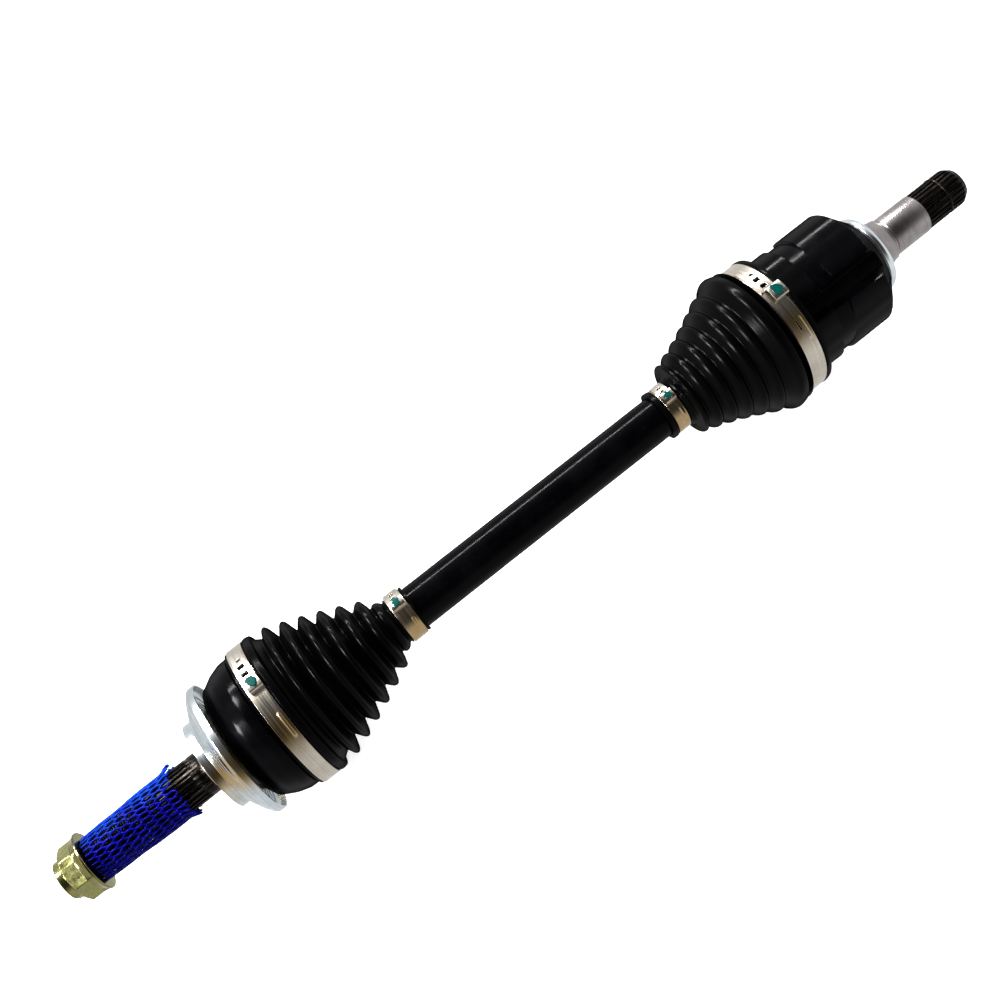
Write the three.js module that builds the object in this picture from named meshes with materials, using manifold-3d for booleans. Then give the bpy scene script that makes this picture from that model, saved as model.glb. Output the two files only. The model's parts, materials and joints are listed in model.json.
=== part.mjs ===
// CV axle: a front-wheel drive shaft with a six-ball outer joint and a tripod plunging inner joint.
// Millimetres. The shaft lies along X with the origin at mid-length on the centreline: -X is the
// wheel end, +X is the gearbox end, +Z is up. Angles around the shaft run from +Z towards +Y.
import * as THREE from "three";
import { mergeVertices } from "three/addons/utils/BufferGeometryUtils.js";
import Module from "manifold-3d";

const wasm = await Module();
wasm.setup();

// ---- driving dimensions ----
const ROUND = 28; // facets around the large turned parts
const FINE = 20; // facets around the small turned parts
const GAP = 0.3; // clearance between neighbouring pieces
const DEGREE = Math.PI / 180;

const WHEEL_END = -325;
const GEARBOX_END = 325;
const SHAFT_RADIUS = 12.9;
const NECK_RADIUS = 11;

const OUTER_CENTRE = -186; // outer joint centre
const BALL_COUNT = 6;
const BALL_RADIUS = 7.94;
const BALL_PITCH = 29;
const TRACK_RADIUS = 9.4; // ball groove, with room for the balls' sideways creep at full lock
const RACE_SPHERE = 24.7;
const RACE_HALF_WIDTH = 11;
const CAGE_INNER = 25.1;
const CAGE_OUTER = 29.6;
const CAGE_HALF_WIDTH = 13;
const BELL_SPHERE = 30;
const BELL_DEPTH = 24; // from the joint centre back to the bell's flat floor
const BELL_RADIUS = 43;
const BELL_MOUTH = -167;
const HUB_SHOULDER = -226; // face that seats on the wheel bearing
const SHIELD_SEAT = 25.2;

const STUB_RADIUS = 13; // wheel-end spline, over the teeth
const STUB_TEETH = 26;
const THREAD_RADIUS = 11;
const THREAD_END = -275;
const NUT_FACE = -306.2; // the nut's flange face
const HEX_FLATS = 30;
const HEX_TURN = 8.4 * DEGREE;

const TRIPOD_CENTRE = 204;
const LOBE_ANGLES = [50, 170, 290].map((angle) => angle * DEGREE);
const ROLLER_RADIUS = 16;
const ROLLER_WIDTH = 13;
const ROLLER_PITCH = 22.3;
const JOURNAL_RADIUS = 9.3;
const NEEDLE_BORE = 12.3;
const NEEDLE_COUNT = 18;
const TULIP_MOUTH = 171;
const TULIP_RADIUS = 38;
const TULIP_SHOULDER = 239;
const TULIP_BACK = 250.5;
const TULIP_BACK_RADIUS = 24.5;
const FLAT_ANGLES = [30, 170, 310].map((angle) => angle * DEGREE);
const FLAT_RADIUS = 36.2; // distance of each flat, and of the relief groove's floor, from the centreline
const VALLEY_DEPTH = 6.5;
const VALLEY_HALF_ANGLE = 13.5 * DEGREE;
const CAVITY_RADIUS = 33.2;
const SEAL_SEAT = 17.2;
const SEAL_END = 259;
const GEARBOX_SPLINE_RADIUS = 12.15;
const GEARBOX_TEETH = 24;
const CLIP_GROOVE = 311;

const BAND_THICKNESS = 0.8;

// Each boot's folds run from one crest to another, both [x, radius]. A valley lies at a share of the
// pitch after each crest, with its depth below the crests given at both ends. The taper bows outwards.
const OUTER_FOLDS = {
  first: [-157.7, 44], last: [-107.7, 23], count: 6, valley: 0.36, depths: [8, 6], bow: 0.8,
};
const INNER_FOLDS = {
  first: [110.2, 23.5], last: [152.2, 40.8], count: 6, valley: 0.48, depths: [3.1, 3.1], bow: -1.2,
};
const BOOT_WALL = 2.6;

// ---- colours ----
const finish = (color, roughness, metalness) =>
  new THREE.MeshStandardMaterial({ color, roughness, metalness, flatShading: true });
const BLACK_PAINT = finish(0x0b0b0e, 0.3, 0.4);
const RUBBER = finish(0x0c0c0c, 0.55, 0);
const BARE_STEEL = finish(0xb4b2ae, 0.32, 1);
const HARD_STEEL = finish(0x8f9094, 0.22, 1);
const DARK_SPLINE = finish(0x241d16, 0.4, 0.8);
const BRIGHT_ZINC = finish(0xcfd6da, 0.25, 1);
const YELLOW_ZINC = finish(0xbdb683, 0.35, 1);
const BAND_STEEL = finish(0xc4bcae, 0.35, 1);
const BLUE_NET = finish(0x0a1fc4, 0.5, 0);

// ---- solids ----
const alongX = new THREE.Matrix4().makeBasis(
  new THREE.Vector3(0, 1, 0),
  new THREE.Vector3(0, 0, 1),
  new THREE.Vector3(1, 0, 0),
);

// A point at the given radius and angle around the shaft, in the plane of an outline drawn for extruding.
const around = (radius, angle) => new THREE.Vector2(radius * Math.sin(angle), radius * Math.cos(angle));

// Turns a closed geometry into a solid that can be joined and cut.
function solid(geometry) {
  const plain = new THREE.BufferGeometry();
  plain.setAttribute("position", geometry.getAttribute("position"));
  if (geometry.index) plain.setIndex(geometry.index);
  const merged = mergeVertices(plain, 1e-4);
  const corners = merged.index.array;
  const triangles = [];
  for (let i = 0; i < corners.length; i += 3) {
    const [a, b, c] = corners.slice(i, i + 3);
    if (a !== b && b !== c && c !== a) triangles.push(a, b, c);
  }
  return new wasm.Manifold(new wasm.Mesh({
    numProp: 3,
    vertProperties: new Float32Array(merged.attributes.position.array),
    triVerts: new Uint32Array(triangles),
  }));
}

// A body turned about the X axis, from an outline of [x, radius] points.
function turned(outline, facets = ROUND) {
  const points = outline.map(([x, radius]) => new THREE.Vector2(radius, x));
  const geometry = new THREE.LatheGeometry(points, facets);
  geometry.rotateZ(-Math.PI / 2);
  return solid(geometry);
}

// A turned ring, from its outer and inner outlines, both given wheel end first.
function turnedRing(outer, inner, facets = ROUND) {
  const back = [...inner].reverse();
  return turned([inner[0], ...outer, ...back], facets);
}

const disc = (x0, x1, radius, facets) => turned([[x0, 0], [x0, radius], [x1, radius], [x1, 0]], facets);
const tube = (x0, x1, inner, outer, facets) =>
  turnedRing([[x0, outer], [x1, outer]], [[x0, inner], [x1, inner]], facets);

// A straight bar along X with the given cross-section.
function bar(points, x0, x1) {
  const geometry = new THREE.ExtrudeGeometry(new THREE.Shape(points), {
    depth: x1 - x0,
    bevelEnabled: false,
    steps: 1,
  });
  geometry.applyMatrix4(alongX);
  geometry.translate(x0, 0, 0);
  return solid(geometry);
}

// A block standing on the shaft's surface at an angle, its size given along X, around and outwards.
function block(x, radius, angle, [along, across, high]) {
  const geometry = new THREE.BoxGeometry(along, across, high);
  geometry.translate(x, 0, radius);
  geometry.rotateX(-angle);
  return solid(geometry);
}

// A body turned about X, moved to stand radially at an angle: its x becomes its distance from the shaft.
function radially(body, x, angle) {
  const stand = new THREE.Matrix4().makeBasis(
    new THREE.Vector3(0, Math.sin(angle), Math.cos(angle)),
    new THREE.Vector3(0, Math.cos(angle), -Math.sin(angle)),
    new THREE.Vector3(-1, 0, 0),
  );
  stand.setPosition(x, 0, 0);
  return body.transform(stand.elements);
}

// An open ring around X with square ends, such as a snap ring or circlip.
function snapRing(x0, x1, inner, outer, opening) {
  const steps = 12;
  const sweep = (radius, flip) => Array.from({ length: steps + 1 }, (_, i) => {
    const t = flip ? 1 - i / steps : i / steps;
    return around(radius, opening / 2 + t * (2 * Math.PI - opening));
  });
  return bar([...sweep(outer, true), ...sweep(inner, false)], x0, x1);
}

// Straight-sided spline teeth between a root and a tip radius.
function splineBar(root, tip, teeth, x0, x1) {
  const pitch = (2 * Math.PI) / teeth;
  const points = [];
  for (let i = teeth; i > 0; i -= 1) {
    points.push(around(root, (i + 0.3) * pitch), around(tip, (i + 0.16) * pitch));
    points.push(around(tip, (i - 0.16) * pitch), around(root, (i - 0.3) * pitch));
  }
  return bar(points, x0, x1);
}

// Points along an arc of the given radius about the outer joint centre, between two distances in x.
function jointArc(radius, from, to, steps) {
  const start = Math.asin(from / radius);
  const end = Math.asin(to / radius);
  return Array.from({ length: steps + 1 }, (_, i) => {
    const angle = start + ((end - start) * i) / steps;
    return [OUTER_CENTRE + radius * Math.sin(angle), radius * Math.cos(angle)];
  });
}

// ---- outer joint ----
// The path of a ball's centre: an arc about the joint centre in the plane at the given angle.
class TrackPath extends THREE.Curve {
  constructor(angle, reach) {
    super();
    this.angle = angle;
    this.reach = reach;
  }

  getPoint(t) {
    const swing = (2 * t - 1) * this.reach;
    const radius = BALL_PITCH * Math.cos(swing);
    const { x: y, y: z } = around(radius, this.angle);
    return new THREE.Vector3(OUTER_CENTRE + BALL_PITCH * Math.sin(swing), y, z);
  }
}

const ballAngles = Array.from({ length: BALL_COUNT }, (_, i) => (i * 2 * Math.PI) / BALL_COUNT);

function ballTrack(angle) {
  const facets = 12;
  const section = Array.from({ length: facets }, (_, i) => around(TRACK_RADIUS, (i * 2 * Math.PI) / facets));
  return solid(new THREE.ExtrudeGeometry(new THREE.Shape(section), {
    steps: 6,
    extrudePath: new TrackPath(angle, 52 * DEGREE),
  }));
}

const cutTracks = (body) => ballAngles.reduce((rest, angle) => rest.subtract(ballTrack(angle)), body);

function outerJointHousing() {
  const body = turned([
    [WHEEL_END + 2, 0], [WHEEL_END + 2, THREAD_RADIUS - 1], [WHEEL_END + 3, THREAD_RADIUS],
    [THREAD_END, THREAD_RADIUS], [THREAD_END + 1, 11.9], [-240, 11.9], [-238, STUB_RADIUS],
    [-231, STUB_RADIUS], [-228.2, 13.8], [HUB_SHOULDER, 15.5],
    [HUB_SHOULDER, SHIELD_SEAT - 0.6], [HUB_SHOULDER + 0.6, SHIELD_SEAT],
    [-213, SHIELD_SEAT], [-208.4, 30], [-205.6, 35.8], [-197, 40.6], [-190, 42.8], [-185, BELL_RADIUS],
    [-184.4, 41.8], [BELL_MOUTH, 41.8], [BELL_MOUTH, 0],
  ]);
  const cavity = turned([
    [OUTER_CENTRE - BELL_DEPTH, 0], ...jointArc(BELL_SPHERE, -BELL_DEPTH, 0, 5),
    [OUTER_CENTRE + 12, BELL_SPHERE],
    [BELL_MOUTH + 1, 37], [BELL_MOUTH + 1, 0],
  ]);
  const teeth = splineBar(11.7, STUB_RADIUS, STUB_TEETH, THREAD_END + 1, -239);
  return cutTracks(body.add(teeth).subtract(cavity));
}

// A hub that grips the neck, a cone and a rim turned towards the joint, all in one thin sheet.
function dustShield() {
  const face = HUB_SHOULDER + 0.6;
  const outer = [[face, 27.7], [-220, 27.7], [-219, 31.5], [-211.5, 42.5], [-207.5, 42.5]];
  const bore = SHIELD_SEAT + GAP;
  const inner = [[face, bore], [-218.8, bore], [-217.8, 31], [-210.7, 41.4], [-207.5, 41.4]];
  return turnedRing(outer, inner);
}

function innerRace() {
  const sphere = jointArc(RACE_SPHERE, -RACE_HALF_WIDTH, RACE_HALF_WIDTH, 6);
  const bore = [-1, 1].map((side) => [OUTER_CENTRE + side * RACE_HALF_WIDTH, NECK_RADIUS + GAP]);
  return cutTracks(turnedRing(sphere, bore));
}

function ballCage() {
  const outer = jointArc(CAGE_OUTER, -CAGE_HALF_WIDTH, CAGE_HALF_WIDTH, 6);
  const inner = jointArc(CAGE_INNER, -CAGE_HALF_WIDTH, CAGE_HALF_WIDTH, 6);
  const window = [2 * (BALL_RADIUS + 0.36), 19.2, 12];
  return ballAngles.reduce(
    (rest, angle) => rest.subtract(block(OUTER_CENTRE, BALL_PITCH, angle, window)),
    turnedRing(outer, inner),
  );
}

function ball(angle) {
  const { x: y, y: z } = around(BALL_PITCH, angle);
  const geometry = new THREE.IcosahedronGeometry(BALL_RADIUS, 2);
  geometry.translate(OUTER_CENTRE, y, z);
  return solid(geometry);
}

// ---- wheel-end nut and thread sleeve ----
function hubNut() {
  const corner = HEX_FLATS / 2 / Math.cos(30 * DEGREE);
  const outline = Array.from({ length: 6 }, (_, i) => around(corner, HEX_TURN + (30 - i * 60) * DEGREE));
  const hex = bar(outline, -320, -311.3);
  const chamfer = turned([[-321, 0], [-321, 14.6], [-317.5, 18], [-310.5, 18], [-310.5, 0]], FINE);
  const flange = turned([[-312, 0], [-312, 15.2], [-306.8, 18.4], [NUT_FACE, 18.4], [NUT_FACE, 0]], ROUND);
  const collar = turned([[WHEEL_END, 0], [WHEEL_END, 12.1], [-319, 12.4], [-319, 0]], FINE);
  const bore = disc(WHEEL_END - 1, NUT_FACE + 1, THREAD_RADIUS + GAP, FINE);
  return hex.intersect(chamfer).add(flange).add(collar).subtract(bore);
}

// The protective net is a soft sleeve: a plain tube that flares at its cut end.
function threadSleeve() {
  const outer = [[NUT_FACE + GAP, 13.4], [THREAD_END - 1.5, 14.4], [-252, 14.9], [-244.8, 16.4]];
  const inner = outer.map(([x, radius]) => [x, radius - 0.9]);
  return turnedRing(outer, inner, FINE);
}

// ---- boots and their clamps ----
// The outside of a boot's folds as [x, radius] points: crest, valley, crest and so on to the last crest.
function folds({ first, last, count, valley, depths, bow }) {
  const mix = (from, to, share) => from + (to - from) * share;
  const x = (step) => mix(first[0], last[0], step / (count - 1));
  const bulge = (step) => bow * Math.sin((Math.PI * step) / (count - 1));
  const crest = (step) => mix(first[1], last[1], step / (count - 1)) + bulge(step);
  const points = [[x(0), crest(0)]];
  for (let i = 1; i < count; i += 1) {
    const depth = mix(...depths, (i - 1) / (count - 2));
    points.push([x(i - 1 + valley), (crest(i - 1) + crest(i)) / 2 - depth]);
    points.push([x(i), crest(i)]);
  }
  return points;
}

// The inside of a boot's folds, taken straight from valley to valley past the crests.
const foldsInside = (shape) =>
  folds(shape).filter((_, i) => i % 2 === 1).map(([x, radius]) => [x, radius - BOOT_WALL]);

function outerBoot() {
  const outer = [
    [-183.6, 44.6], [-171.5, 44.6], [-171, 45.6], [-167, 45.3], [-162, 39], ...folds(OUTER_FOLDS),
    [-105.5, 17.9], [-101.5, 16.3], [-97, 14.6], [-96.4, 14.2], [-85.9, 14.2], [-85.6, 14.8], [-84.3, 14.6],
  ];
  const inner = [
    [-183.6, 42.1], [-166.4, 42.1], [-162, 39 - BOOT_WALL], ...foldsInside(OUTER_FOLDS),
    [-105, 14.8], [-97.5, SHAFT_RADIUS + GAP], [-84.3, SHAFT_RADIUS + GAP],
  ];
  return turnedRing(outer, inner);
}

function innerBoot() {
  const outer = [
    [94, 15.6], [97, 15.6], [97.3, 14.2], [106.3, 14.2], [107, 16], ...folds(INNER_FOLDS),
    [156.4, 39.8], [159.6, 43], [162.8, 46.1], [168, 45.8], [171.6, 44.8], [172.2, 42.5], [183.8, 42.5],
    [184.2, 43.6], [187, 43.2],
  ];
  const inner = [
    [94, SHAFT_RADIUS + GAP], [106, SHAFT_RADIUS + GAP], [109, 17], ...foldsInside(INNER_FOLDS),
    [156.4, 39.8 - BOOT_WALL], [162.8, 42], [169.4, 40.6], [170.4, 20], [187, 20],
  ];
  const mouth = bar(lobedOutline(TULIP_RADIUS + GAP), 170.4, 190);
  return turnedRing(outer, inner).subtract(mouth);
}

// A band with its pinched ear at the given angle, standing proud and reaching past the band's edge.
function clamp(x0, x1, inner, angle, overhang = 0) {
  const outer = inner + BAND_THICKNESS;
  const middle = (x0 + x1) / 2;
  const width = x1 - x0;
  const ear = block(middle + overhang, outer + 1.6, angle, [width * 0.86, 10, 3]);
  const lap = block(middle, outer + 0.1, angle + 9 / outer, [width * 0.8, 14, 1]);
  const ring = tube(x0, x1, inner, outer);
  return ring.add(ear).add(lap).subtract(disc(x0 - 1, x1 + 1, inner, ROUND));
}

// ---- shaft ----
function axleShaft() {
  return turned([
    [-200, 0], [-200, 9.6], [-199.4, 10.4], [-198.7, 10.4], [-198.7, 9.6], [-197.3, 9.6],
    [-197.3, NECK_RADIUS], [-174.6, NECK_RADIUS], [-174.6, 12.3], [-171.6, 12.3], [-169, NECK_RADIUS],
    [-146, NECK_RADIUS], [-138, SHAFT_RADIUS], [146, SHAFT_RADIUS], [152, NECK_RADIUS],
    [192.3, NECK_RADIUS], [192.3, 9.8], [193.7, 9.8], [193.7, NECK_RADIUS], [214.3, NECK_RADIUS],
    [214.3, 9.8], [215.7, 9.8], [215.7, 10.6], [217.4, 9.6], [217.4, 0],
  ]);
}

// ---- inner joint ----
// Three wide lobes, each with one flat, and narrow valleys midway between the roller tracks.
function lobedRadius(radius, angle) {
  const valley = LOBE_ANGLES.reduce((depth, lobe) => {
    const off = Math.acos(Math.cos(angle - lobe - Math.PI)) / VALLEY_HALF_ANGLE;
    return Math.max(depth, VALLEY_DEPTH * Math.min(Math.max(2 - 2 * off, 0), 1));
  }, 0);
  const flat = radius - TULIP_RADIUS + FLAT_RADIUS;
  return FLAT_ANGLES.reduce((least, middle) => {
    const slant = Math.cos(angle - middle);
    return slant > 0.9 ? Math.min(least, flat / slant) : least;
  }, radius - valley);
}

function lobedOutline(radius) {
  const steps = 60;
  return Array.from({ length: steps }, (_, i) => {
    const angle = LOBE_ANGLES[0] - (2 * Math.PI * i) / steps;
    return around(lobedRadius(radius, angle), angle);
  });
}

function rollerTrack(angle) {
  const { x: y, y: z } = around(ROLLER_PITCH, angle);
  return disc(TULIP_MOUTH - 1, 241, ROLLER_RADIUS + 1, FINE).translate([0, y, z]);
}

function tulipCavity() {
  const reach = turned([
    [TULIP_MOUTH - 1, 0], [TULIP_MOUTH - 1, CAVITY_RADIUS], [234, CAVITY_RADIUS], [241, 26], [241, 0],
  ]);
  const core = turned([
    [TULIP_MOUTH - 1, 0], [TULIP_MOUTH - 1, 30.3], [201, 20], [234, 20], [234, 0],
  ]);
  const tracks = LOBE_ANGLES.map(rollerTrack).reduce((all, track) => all.add(track));
  return tracks.intersect(reach).add(core);
}

function tripodHousing() {
  const envelope = turned([
    [TULIP_MOUTH, 0], [TULIP_MOUTH, TULIP_RADIUS + 1], [TULIP_SHOULDER, TULIP_RADIUS + 1],
    [TULIP_SHOULDER, TULIP_RADIUS], [TULIP_BACK, TULIP_BACK_RADIUS], [TULIP_BACK, 0],
  ]);
  const relief = tube(202.5, 213.2, FLAT_RADIUS, TULIP_RADIUS + 4, ROUND);
  const shell = bar(lobedOutline(TULIP_RADIUS), TULIP_MOUTH, TULIP_BACK + 1).intersect(envelope);
  const stub = turned([
    [245, 0], [245, 18], [TULIP_BACK, 18], [TULIP_BACK, SEAL_SEAT - 0.4], [SEAL_END, SEAL_SEAT - 0.4],
    [SEAL_END, 16.3], [262, 15], [266, 13.9], [267.5, 13.9], [267.5, 12.4], [269.5, 12.4],
    [269.5, 12.65], [294, 12.65], [294, 11.3],
    [CLIP_GROOVE - 1, 11.3], [CLIP_GROOVE - 1, 10.4], [CLIP_GROOVE + 1, 10.4],
    [CLIP_GROOVE + 1, 11.3], [322, 11.3], [GEARBOX_END, 9.6], [GEARBOX_END, 0],
  ], ROUND);
  const teeth = splineBar(11.1, GEARBOX_SPLINE_RADIUS, GEARBOX_TEETH, 293.6, 322);
  const clipGroove = tube(CLIP_GROOVE - 1, CLIP_GROOVE + 1, 10.4, 14, ROUND);
  const tipChamfer = turnedRing([[319.5, 14], [326, 14]], [[319.5, 12.4], [326, 9]], ROUND);
  const splined = stub.add(teeth).subtract(clipGroove).subtract(tipChamfer);
  return shell.subtract(relief).subtract(tulipCavity()).add(splined);
}

function tripodSpider() {
  const trunnion = turned([
    [8, 0], [8, JOURNAL_RADIUS], [29, JOURNAL_RADIUS], [29, 8.2], [30.3, 8.2], [30.3, JOURNAL_RADIUS - 0.3],
    [30.9, JOURNAL_RADIUS - 0.9], [30.9, 0],
  ], FINE);
  const hub = disc(TRIPOD_CENTRE - 10, TRIPOD_CENTRE + 10, 14.9, ROUND);
  const arms = LOBE_ANGLES.map((angle) => radially(trunnion, TRIPOD_CENTRE, angle));
  const bore = disc(TRIPOD_CENTRE - 11, TRIPOD_CENTRE + 11, NECK_RADIUS + GAP, ROUND);
  return arms.reduce((all, arm) => all.add(arm), hub).subtract(bore);
}

function roller(angle) {
  const half = ROLLER_WIDTH / 2;
  const steps = 6;
  const crown = Array.from({ length: steps + 1 }, (_, i) => {
    const offset = -half + (ROLLER_WIDTH * i) / steps;
    return [ROLLER_PITCH + offset, Math.sqrt(ROLLER_RADIUS ** 2 - offset ** 2)];
  });
  const bore = [[ROLLER_PITCH - half, NEEDLE_BORE], [ROLLER_PITCH + half, NEEDLE_BORE]];
  return radially(turnedRing(crown, bore, FINE), TRIPOD_CENTRE, angle);
}

// A full ring of needles around a trunnion, joined side by side into one ring.
function needleSet(angle) {
  const half = ROLLER_WIDTH / 2 - 0.4;
  const pitch = Math.PI / NEEDLE_COUNT;
  const scallop = (high, low) => Array.from({ length: 2 * NEEDLE_COUNT }, (_, i) =>
    around(i % 2 ? low : high, -i * pitch));
  const ring = bar(scallop(NEEDLE_BORE - GAP, 11.4), ROLLER_PITCH - half, ROLLER_PITCH + half);
  const hole = bar(scallop(JOURNAL_RADIUS + GAP, 10.2), ROLLER_PITCH - half - 1, ROLLER_PITCH + half + 1);
  return radially(ring.subtract(hole), TRIPOD_CENTRE, angle);
}

const rollerRetainer = (angle) =>
  radially(snapRing(29.2, 30.1, 8.5, 11.2, 40 * DEGREE), TRIPOD_CENTRE, angle);

function sealShield() {
  const outer = [
    [TULIP_BACK + GAP, 24.4], [253.3, 25], [255, 24], [258, 19.5], [SEAL_END - GAP, 17.9],
  ];
  const inner = [[TULIP_BACK + GAP, SEAL_SEAT], [SEAL_END - GAP, SEAL_SEAT]];
  return turnedRing(outer, inner);
}

const stubCirclip = () => snapRing(CLIP_GROOVE - 0.7, CLIP_GROOVE + 0.7, 10.7, 12.6, 50 * DEGREE);

// ---- assembly ----
function meshOf(name, body, material) {
  const { vertProperties, triVerts } = body.getMesh();
  const geometry = new THREE.BufferGeometry();
  geometry.setAttribute("position", new THREE.BufferAttribute(vertProperties, 3));
  geometry.setIndex(new THREE.BufferAttribute(triVerts, 1));
  geometry.computeVertexNormals();
  const mesh = new THREE.Mesh(geometry, material);
  mesh.name = name;
  return mesh;
}

const numbered = (name, angles, shape, material) =>
  angles.map((angle, i) => meshOf(`${name}_${i + 1}`, shape(angle), material));

const wheelEnd = new THREE.Group();
wheelEnd.add(
  meshOf("hub_nut", hubNut(), YELLOW_ZINC),
  meshOf("thread_sleeve", threadSleeve(), BLUE_NET),
  meshOf("outer_joint_housing", outerJointHousing(), BLACK_PAINT),
  meshOf("dust_shield", dustShield(), BRIGHT_ZINC),
  meshOf("ball_cage", ballCage(), HARD_STEEL),
  ...numbered("ball", ballAngles, ball, HARD_STEEL),
  meshOf("outer_boot", outerBoot(), RUBBER),
  meshOf("outer_boot_large_clamp", clamp(-182, -172.2, 44.9, 29 * DEGREE, 1.2), BAND_STEEL),
);

const middle = new THREE.Group();
middle.add(
  meshOf("axle_shaft", axleShaft(), BLACK_PAINT),
  meshOf("inner_race", innerRace(), BARE_STEEL),
  meshOf("race_snap_ring", snapRing(-198.5, -197.5, 9.9, 12.6, 50 * DEGREE), HARD_STEEL),
  meshOf("outer_boot_small_clamp", clamp(-96, -86.3, 14.5, 31 * DEGREE), BAND_STEEL),
  meshOf("inner_boot_small_clamp", clamp(97.6, 106, 14.5, 22 * DEGREE), BAND_STEEL),
  meshOf("tripod_spider", tripodSpider(), BARE_STEEL),
  meshOf("spider_stop_ring", snapRing(192.5, 193.5, 10.1, 12.8, 50 * DEGREE), HARD_STEEL),
  meshOf("spider_snap_ring", snapRing(214.5, 215.5, 10.1, 12.8, 50 * DEGREE), HARD_STEEL),
  ...numbered("needle_set", LOBE_ANGLES, needleSet, HARD_STEEL),
  ...numbered("roller_retainer", LOBE_ANGLES, rollerRetainer, HARD_STEEL),
);

const gearboxEnd = new THREE.Group();
gearboxEnd.add(
  ...numbered("roller", LOBE_ANGLES, roller, HARD_STEEL),
  meshOf("inner_boot", innerBoot(), RUBBER),
  meshOf("inner_boot_large_clamp", clamp(172.6, 183.4, 42.8, 20 * DEGREE, 2.4), BAND_STEEL),
  meshOf("tripod_housing", tripodHousing(), BLACK_PAINT),
  meshOf("seal_shield", sealShield(), BRIGHT_ZINC),
  meshOf("stub_circlip", stubCirclip(), DARK_SPLINE),
);

const axle = new THREE.Group();
axle.add(wheelEnd, middle, gearboxEnd);
export default axle;
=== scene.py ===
"""CV axle: the visible surfaces, materials, light and camera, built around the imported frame."""
import json
from math import cos, degrees, hypot, pi, radians, sin, sqrt, tan

import bmesh
import bpy
import numpy as np
from mathutils import Matrix, Vector

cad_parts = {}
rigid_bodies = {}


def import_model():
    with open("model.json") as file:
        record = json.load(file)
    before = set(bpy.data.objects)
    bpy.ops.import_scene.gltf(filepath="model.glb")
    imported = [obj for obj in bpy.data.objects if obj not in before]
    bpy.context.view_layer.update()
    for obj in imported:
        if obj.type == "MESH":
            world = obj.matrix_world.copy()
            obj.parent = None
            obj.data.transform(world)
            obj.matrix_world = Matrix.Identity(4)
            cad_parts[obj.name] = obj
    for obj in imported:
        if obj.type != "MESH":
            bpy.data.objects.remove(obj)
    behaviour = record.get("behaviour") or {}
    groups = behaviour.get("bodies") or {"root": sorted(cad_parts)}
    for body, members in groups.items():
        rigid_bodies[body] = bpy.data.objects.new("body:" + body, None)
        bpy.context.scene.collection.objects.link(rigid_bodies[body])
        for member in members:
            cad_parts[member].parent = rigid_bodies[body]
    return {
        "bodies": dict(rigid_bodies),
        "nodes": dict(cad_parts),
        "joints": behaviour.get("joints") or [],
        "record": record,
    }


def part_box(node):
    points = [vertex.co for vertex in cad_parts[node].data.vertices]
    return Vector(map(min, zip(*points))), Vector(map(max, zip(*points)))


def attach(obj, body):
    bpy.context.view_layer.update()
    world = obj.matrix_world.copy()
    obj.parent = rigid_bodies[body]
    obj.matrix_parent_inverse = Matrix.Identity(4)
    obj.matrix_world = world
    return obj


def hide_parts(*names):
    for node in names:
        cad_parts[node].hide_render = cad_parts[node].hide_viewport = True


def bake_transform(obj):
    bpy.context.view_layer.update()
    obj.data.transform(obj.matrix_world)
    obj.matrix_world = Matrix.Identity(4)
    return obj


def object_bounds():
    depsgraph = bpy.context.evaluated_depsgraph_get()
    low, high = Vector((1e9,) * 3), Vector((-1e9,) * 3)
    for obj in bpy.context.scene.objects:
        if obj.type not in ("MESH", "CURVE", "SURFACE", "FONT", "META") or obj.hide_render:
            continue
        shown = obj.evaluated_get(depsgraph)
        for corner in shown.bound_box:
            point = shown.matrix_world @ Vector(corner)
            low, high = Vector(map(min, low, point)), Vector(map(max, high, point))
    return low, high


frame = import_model()
cad_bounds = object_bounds()

MM = 0.001
TAU = 2 * pi
NODES = frame["nodes"]
OUTER_CENTRE = next(j["pos_m"][0] for j in frame["joints"] if j["name"] == "outer_steer") / MM
TRIPOD_CENTRE = next(j["pos_m"][0] for j in frame["joints"] if j["name"] == "inner_tilt") / MM
LOBE_ANGLES = [radians(a) for a in (50, 170, 290)]
FLAT_ANGLES = [radians(a) for a in (30, 170, 310)]
VALLEY_HALF, VALLEY_DEPTH = radians(13.5), 6.5
FLAT_HALF, FLAT_DEPTH = radians(17), 1.8


# ---------------------------------------------------------------- measuring the frame
def span(node):
    """A CAD node's two ends along X, in millimetres."""
    low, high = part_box(node)
    return low[0] / MM, high[0] / MM


def cad_points(node):
    """Every vertex of a CAD node as (x, distance from the axis), in millimetres."""
    points = [v.co / MM for v in NODES[node].data.vertices]
    return [(p.x, hypot(p.y, p.z)) for p in points]


def radii(node):
    """The smallest and largest distance of a CAD node's vertices from the axis."""
    distances = [r for _, r in cad_points(node)]
    return min(distances), max(distances)


def band_ends(node):
    """The two edges of a clamp's band along X: its bore's, since the ear overhangs further out."""
    inner, _ = radii(node)
    bore = [x for x, r in cad_points(node) if r < inner + 0.3]
    return min(bore), max(bore)


def outer_outline(node):
    """The outer [x, radius] outline of a turned CAD node, wheel end first."""
    rings = {}
    for x, r in cad_points(node):
        key = round(x, 2)
        rings[key] = max(rings.get(key, 0), r)
    return sorted(rings.items())


# ---------------------------------------------------------------- mesh tools
def smoothstep(low, high, value):
    t = min(max((value - low) / (high - low), 0), 1)
    return t * t * (3 - 2 * t)


def turn_difference(a, b):
    """The signed angle from b to a, between -pi and pi."""
    return (a - b + pi) % TAU - pi


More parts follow.
